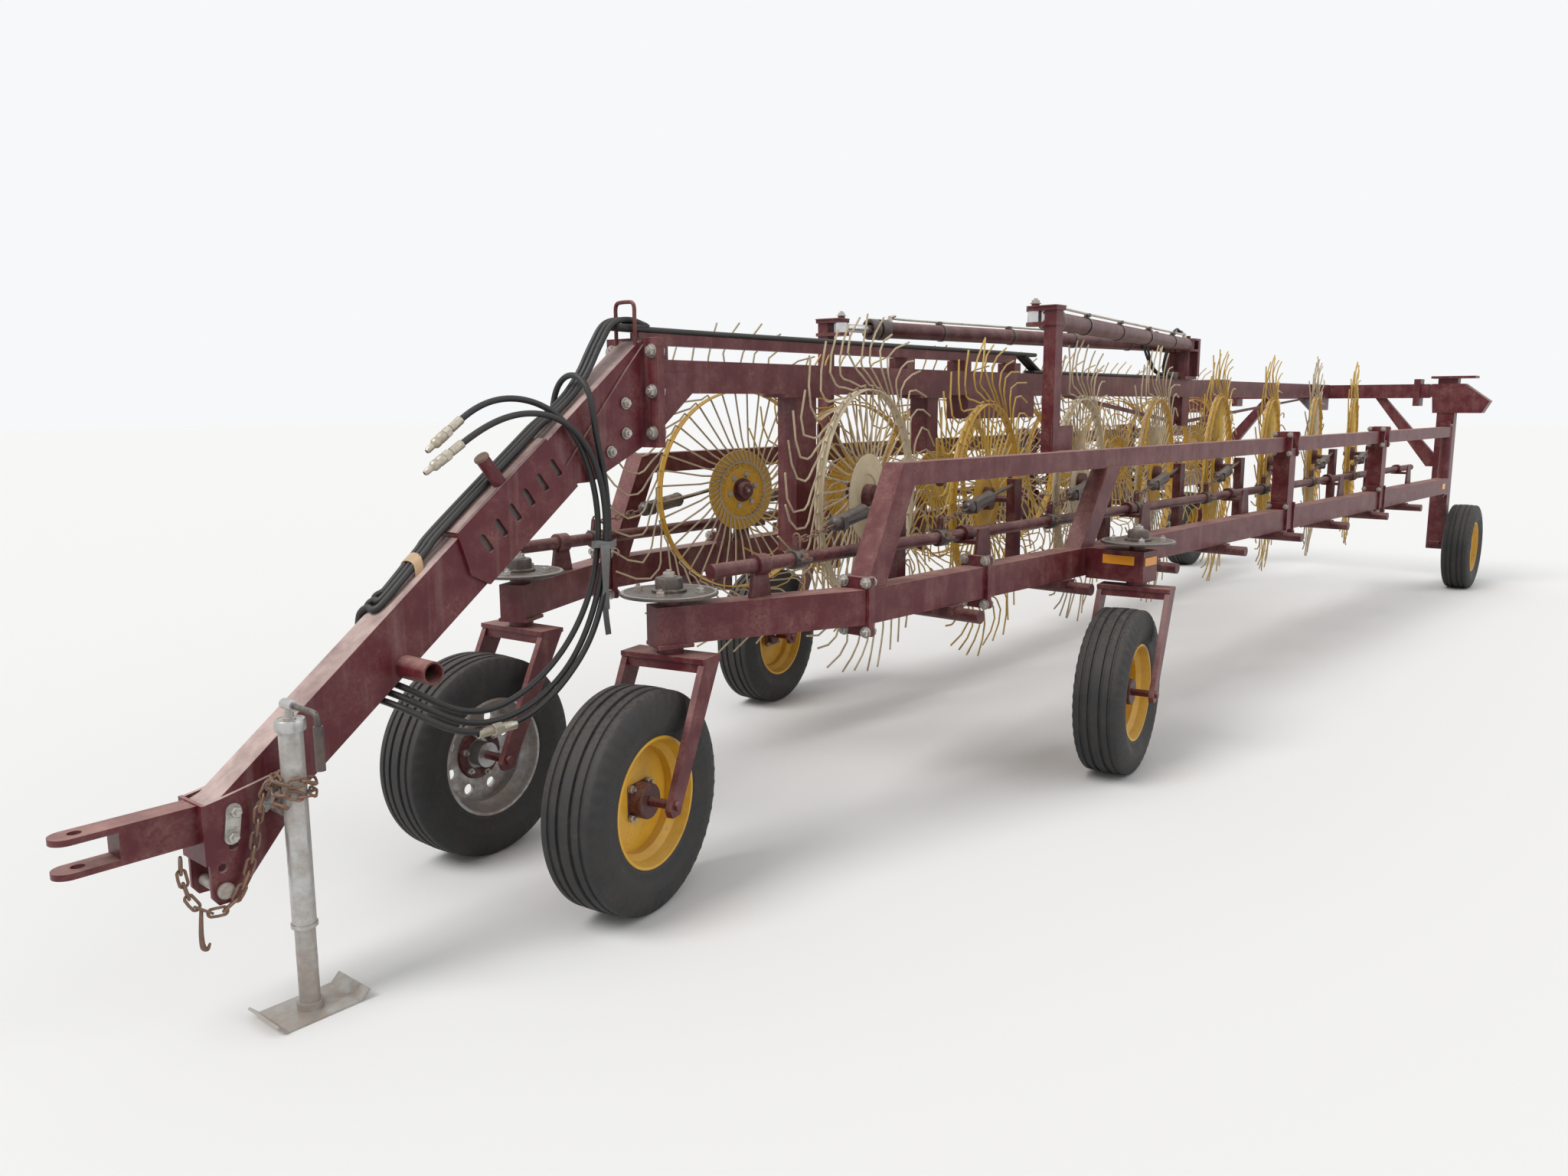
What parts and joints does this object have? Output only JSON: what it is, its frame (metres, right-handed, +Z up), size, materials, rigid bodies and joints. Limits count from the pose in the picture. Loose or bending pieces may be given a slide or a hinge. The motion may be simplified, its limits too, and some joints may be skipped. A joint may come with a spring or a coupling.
{
  "type": "wheel hay rake",
  "caption": "Towed V-shaped wheel hay rake folded for transport: high centre beam, sloping tongue on a jack, two hinged wings on caster wheels with raised tined rake wheels.",
  "frame": {"origin": "ground level, midway between the hitch tip and the back of the rear tyres, on the centre line", "axes": "+X forward towards the hitch, +Y to the machine's left, +Z up"},
  "size_m": [10.8499, 2.652, 2.035],
  "materials": {
    "frame_red": "faded and dusty",
    "arm_red": "faded and dusty",
    "rake_yellow": "weathered",
    "rim_yellow": "weathered",
    "rim_grey": "dull",
    "tyre_black": "dusty",
    "galvanised": "dull",
    "dark_steel": "worn",
    "rod_chrome": "polished"
  },
  "bodies": {
    "chassis": {"tongue": "frame_red", "hitch_clevis": "frame_red", "jack_tube": "galvanised", "jack_crank": "dark_steel", "centre_beam": "frame_red", "rear_frame": "frame_red"},
    "jack_leg": {"jack_leg": "dark_steel"},
    "wing_left": {"wing_frame_left": "frame_red", "lift_shaft_left": "arm_red", "spring_links_left": "dark_steel", "rake_arms_left": "arm_red"},
    "front_caster_left": {"front_fork_left": "frame_red"},
    "front_wheel_left": {"tyre_front_left": "tyre_black", "rim_front_left": "rim_yellow"},
    "middle_caster_left": {"middle_fork_left": "frame_red"},
    "middle_wheel_left": {"tyre_middle_left": "tyre_black", "rim_middle_left": "rim_yellow"},
    "rear_wheel_left": {"tyre_rear_left": "tyre_black", "rim_rear_left": "rim_yellow"},
    "rake_wheel_left_1": {"rake_wheel_left_1": "rake_yellow"},
    "rake_wheel_left_2": {"rake_wheel_left_2": "rake_yellow"},
    "rake_wheel_left_3": {"rake_wheel_left_3": "rake_yellow"},
    "rake_wheel_left_4": {"rake_wheel_left_4": "rake_yellow"},
    "rake_wheel_left_5": {"rake_wheel_left_5": "rake_yellow"},
    "rake_wheel_left_6": {"rake_wheel_left_6": "rake_yellow"},
    "rake_wheel_left_7": {"rake_wheel_left_7": "rake_yellow"},
    "rake_wheel_left_8": {"rake_wheel_left_8": "rake_yellow"},
    "cylinder_barrel_left": {"cylinder_barrel_left": "frame_red"},
    "cylinder_rod_left": {"cylinder_rod_left": "rod_chrome"},
    "wing_right": {"wing_frame_right": "frame_red", "lift_shaft_right": "arm_red", "spring_links_right": "dark_steel", "rake_arms_right": "arm_red"},
    "front_caster_right": {"front_fork_right": "frame_red"},
    "front_wheel_right": {"tyre_front_right": "tyre_black", "rim_front_right": "rim_grey"},
    "middle_caster_right": {"middle_fork_right": "frame_red"},
    "middle_wheel_right": {"tyre_middle_right": "tyre_black", "rim_middle_right": "rim_yellow"},
    "rear_wheel_right": {"tyre_rear_right": "tyre_black", "rim_rear_right": "rim_yellow"},
    "rake_wheel_right_1": {"rake_wheel_right_1": "rake_yellow"},
    "rake_wheel_right_2": {"rake_wheel_right_2": "rake_yellow"},
    "rake_wheel_right_3": {"rake_wheel_right_3": "rake_yellow"},
    "rake_wheel_right_4": {"rake_wheel_right_4": "rake_yellow"},
    "rake_wheel_right_5": {"rake_wheel_right_5": "rake_yellow"},
    "rake_wheel_right_6": {"rake_wheel_right_6": "rake_yellow"},
    "rake_wheel_right_7": {"rake_wheel_right_7": "rake_yellow"},
    "rake_wheel_right_8": {"rake_wheel_right_8": "rake_yellow"},
    "cylinder_barrel_right": {"cylinder_barrel_right": "frame_red"},
    "cylinder_rod_right": {"cylinder_rod_right": "rod_chrome"}
  },
  "joints": [
    {"name": "jack_leg_slide", "type": "slide", "parent": "chassis", "child": "jack_leg", "axis": [0, 0, 1], "range_m": [0, 0.2]},
    {"name": "wing_left_hinge", "type": "hinge", "parent": "chassis", "child": "wing_left", "pos_m": [-4.905, 1.045, 1.1], "axis": [0, 0, 1], "range_deg": [0, 45]},
    {"name": "front_caster_left_swivel", "type": "hinge", "parent": "wing_left", "child": "front_caster_left", "pos_m": [3.68466, 0.31537, 0.9], "axis": [0, 0, 1], "continuous": true},
    {"name": "front_wheel_left_turn", "type": "hinge", "parent": "front_caster_left", "child": "front_wheel_left", "pos_m": [3.90573, 0.36236, 0.36], "axis": [-0.2079, 0.9781, 0], "continuous": true},
    {"name": "middle_caster_left_swivel", "type": "hinge", "parent": "wing_left", "child": "middle_caster_left", "pos_m": [1.39453, 0.9502, 0.9], "axis": [0, 0, 1], "continuous": true},
    {"name": "middle_wheel_left_turn", "type": "hinge", "parent": "middle_caster_left", "child": "middle_wheel_left", "pos_m": [1.61833, 0.98166, 0.36], "axis": [-0.1392, 0.9903, 0], "continuous": true},
    {"name": "rear_wheel_left_turn", "type": "hinge", "parent": "chassis", "child": "rear_wheel_left", "pos_m": [-5.065, 1.208, 0.36], "axis": [0, 1, 0], "continuous": true},
    {"name": "rake_wheel_left_1_turn", "type": "hinge", "parent": "wing_left", "child": "rake_wheel_left_1", "pos_m": [2.51573, 0.27757, 1.225], "axis": [0.1736, -0.9848, 0], "continuous": true},
    {"name": "rake_wheel_left_2_turn", "type": "hinge", "parent": "wing_left", "child": "rake_wheel_left_2", "pos_m": [1.64609, 0.32619, 1.165], "axis": [0.1736, -0.9848, 0], "continuous": true},
    {"name": "rake_wheel_left_3_turn", "type": "hinge", "parent": "wing_left", "child": "rake_wheel_left_3", "pos_m": [0.77645, 0.37481, 1.19], "axis": [0.1736, -0.9848, 0], "continuous": true},
    {"name": "rake_wheel_left_4_turn", "type": "hinge", "parent": "wing_left", "child": "rake_wheel_left_4", "pos_m": [-0.09319, 0.42343, 1.19], "axis": [0.1736, -0.9848, 0], "continuous": true},
    {"name": "rake_wheel_left_5_turn", "type": "hinge", "parent": "wing_left", "child": "rake_wheel_left_5", "pos_m": [-0.96284, 0.47205, 1.205], "axis": [0.1736, -0.9848, 0], "continuous": true},
    {"name": "rake_wheel_left_6_turn", "type": "hinge", "parent": "wing_left", "child": "rake_wheel_left_6", "pos_m": [-1.83248, 0.52067, 1.185], "axis": [0.1736, -0.9848, 0], "continuous": true},
    {"name": "rake_wheel_left_7_turn", "type": "hinge", "parent": "wing_left", "child": "rake_wheel_left_7", "pos_m": [-2.70212, 0.56929, 1.2], "axis": [0.1736, -0.9848, 0], "continuous": true},
    {"name": "rake_wheel_left_8_turn", "type": "hinge", "parent": "wing_left", "child": "rake_wheel_left_8", "pos_m": [-3.57176, 0.61791, 1.195], "axis": [0.1736, -0.9848, 0], "continuous": true},
    {"name": "cylinder_left_swing", "type": "hinge", "parent": "chassis", "child": "cylinder_barrel_left", "pos_m": [-1.465, 0.062, 1.975], "axis": [0, 0, 1], "range_deg": [0, 65.8]},
    {"name": "cylinder_left_stroke", "type": "slide", "parent": "cylinder_barrel_left", "child": "cylinder_rod_left", "axis": [0.9902, 0.1398, 0], "range_m": [0, 2.332]},
    {"name": "wing_right_hinge", "type": "hinge", "parent": "chassis", "child": "wing_right", "pos_m": [-4.905, -1.045, 1.1], "axis": [0, 0, -1], "range_deg": [-0.9, 44.1]},
    {"name": "front_caster_right_swivel", "type": "hinge", "parent": "wing_right", "child": "front_caster_right", "pos_m": [3.69507, -0.45038, 0.9], "axis": [0, 0, -1], "continuous": true},
    {"name": "front_wheel_right_turn", "type": "hinge", "parent": "front_caster_right", "child": "front_wheel_right", "pos_m": [3.92037, -0.43265, 0.36], "axis": [0.0785, -0.9969, 0], "continuous": true},
    {"name": "middle_caster_right_swivel", "type": "hinge", "parent": "wing_right", "child": "middle_caster_right", "pos_m": [1.39524, -1.04916, 0.9], "axis": [0, 0, -1], "continuous": true},
    {"name": "middle_wheel_right_turn", "type": "hinge", "parent": "middle_caster_right", "child": "middle_wheel_right", "pos_m": [1.61904, -1.01771, 0.36], "axis": [0.1392, -0.9903, 0], "continuous": true},
    {"name": "rear_wheel_right_turn", "type": "hinge", "parent": "chassis", "child": "rear_wheel_right", "pos_m": [-5.065, -1.208, 0.36], "axis": [0, 1, 0], "continuous": true},
    {"name": "rake_wheel_right_1_turn", "type": "hinge", "parent": "wing_right", "child": "rake_wheel_right_1", "pos_m": [2.52687, -0.39422, 1.225], "axis": [0.1891, 0.982, 0], "continuous": true},
    {"name": "rake_wheel_right_2_turn", "type": "hinge", "parent": "wing_right", "child": "rake_wheel_right_2", "pos_m": [1.65657, -0.42918, 1.165], "axis": [0.1891, 0.982, 0], "continuous": true},
    {"name": "rake_wheel_right_3_turn", "type": "hinge", "parent": "wing_right", "child": "rake_wheel_right_3", "pos_m": [0.78627, -0.46413, 1.19], "axis": [0.1891, 0.982, 0], "continuous": true},
    {"name": "rake_wheel_right_4_turn", "type": "hinge", "parent": "wing_right", "child": "rake_wheel_right_4", "pos_m": [-0.08402, -0.49909, 1.19], "axis": [0.1891, 0.982, 0], "continuous": true},
    {"name": "rake_wheel_right_5_turn", "type": "hinge", "parent": "wing_right", "child": "rake_wheel_right_5", "pos_m": [-0.95432, -0.53404, 1.205], "axis": [0.1891, 0.982, 0], "continuous": true},
    {"name": "rake_wheel_right_6_turn", "type": "hinge", "parent": "wing_right", "child": "rake_wheel_right_6", "pos_m": [-1.82462, -0.569, 1.185], "axis": [0.1891, 0.982, 0], "continuous": true},
    {"name": "rake_wheel_right_7_turn", "type": "hinge", "parent": "wing_right", "child": "rake_wheel_right_7", "pos_m": [-2.69492, -0.60395, 1.2], "axis": [0.1891, 0.982, 0], "continuous": true},
    {"name": "rake_wheel_right_8_turn", "type": "hinge", "parent": "wing_right", "child": "rake_wheel_right_8", "pos_m": [-3.56522, -0.6389, 1.195], "axis": [0.1891, 0.982, 0], "continuous": true},
    {"name": "cylinder_right_swing", "type": "hinge", "parent": "chassis", "child": "cylinder_barrel_right", "pos_m": [-1.465, -0.062, 1.975], "axis": [0, 0, -1], "range_deg": [-1.5, 64]},
    {"name": "cylinder_right_stroke", "type": "slide", "parent": "cylinder_barrel_right", "child": "cylinder_rod_right", "axis": [0.9851, -0.1719, 0], "range_m": [-0.05, 2.308]}
  ],
  "couplings": [
    {"joint": "cylinder_left_swing", "follows": "wing_left_hinge", "ratio": 1.458},
    {"joint": "cylinder_left_stroke", "follows": "wing_left_hinge", "m_per_rad": 2.965},
    {"joint": "cylinder_right_swing", "follows": "wing_right_hinge", "ratio": 1.446},
    {"joint": "cylinder_right_stroke", "follows": "wing_right_hinge", "m_per_rad": 2.995}
  ]
}
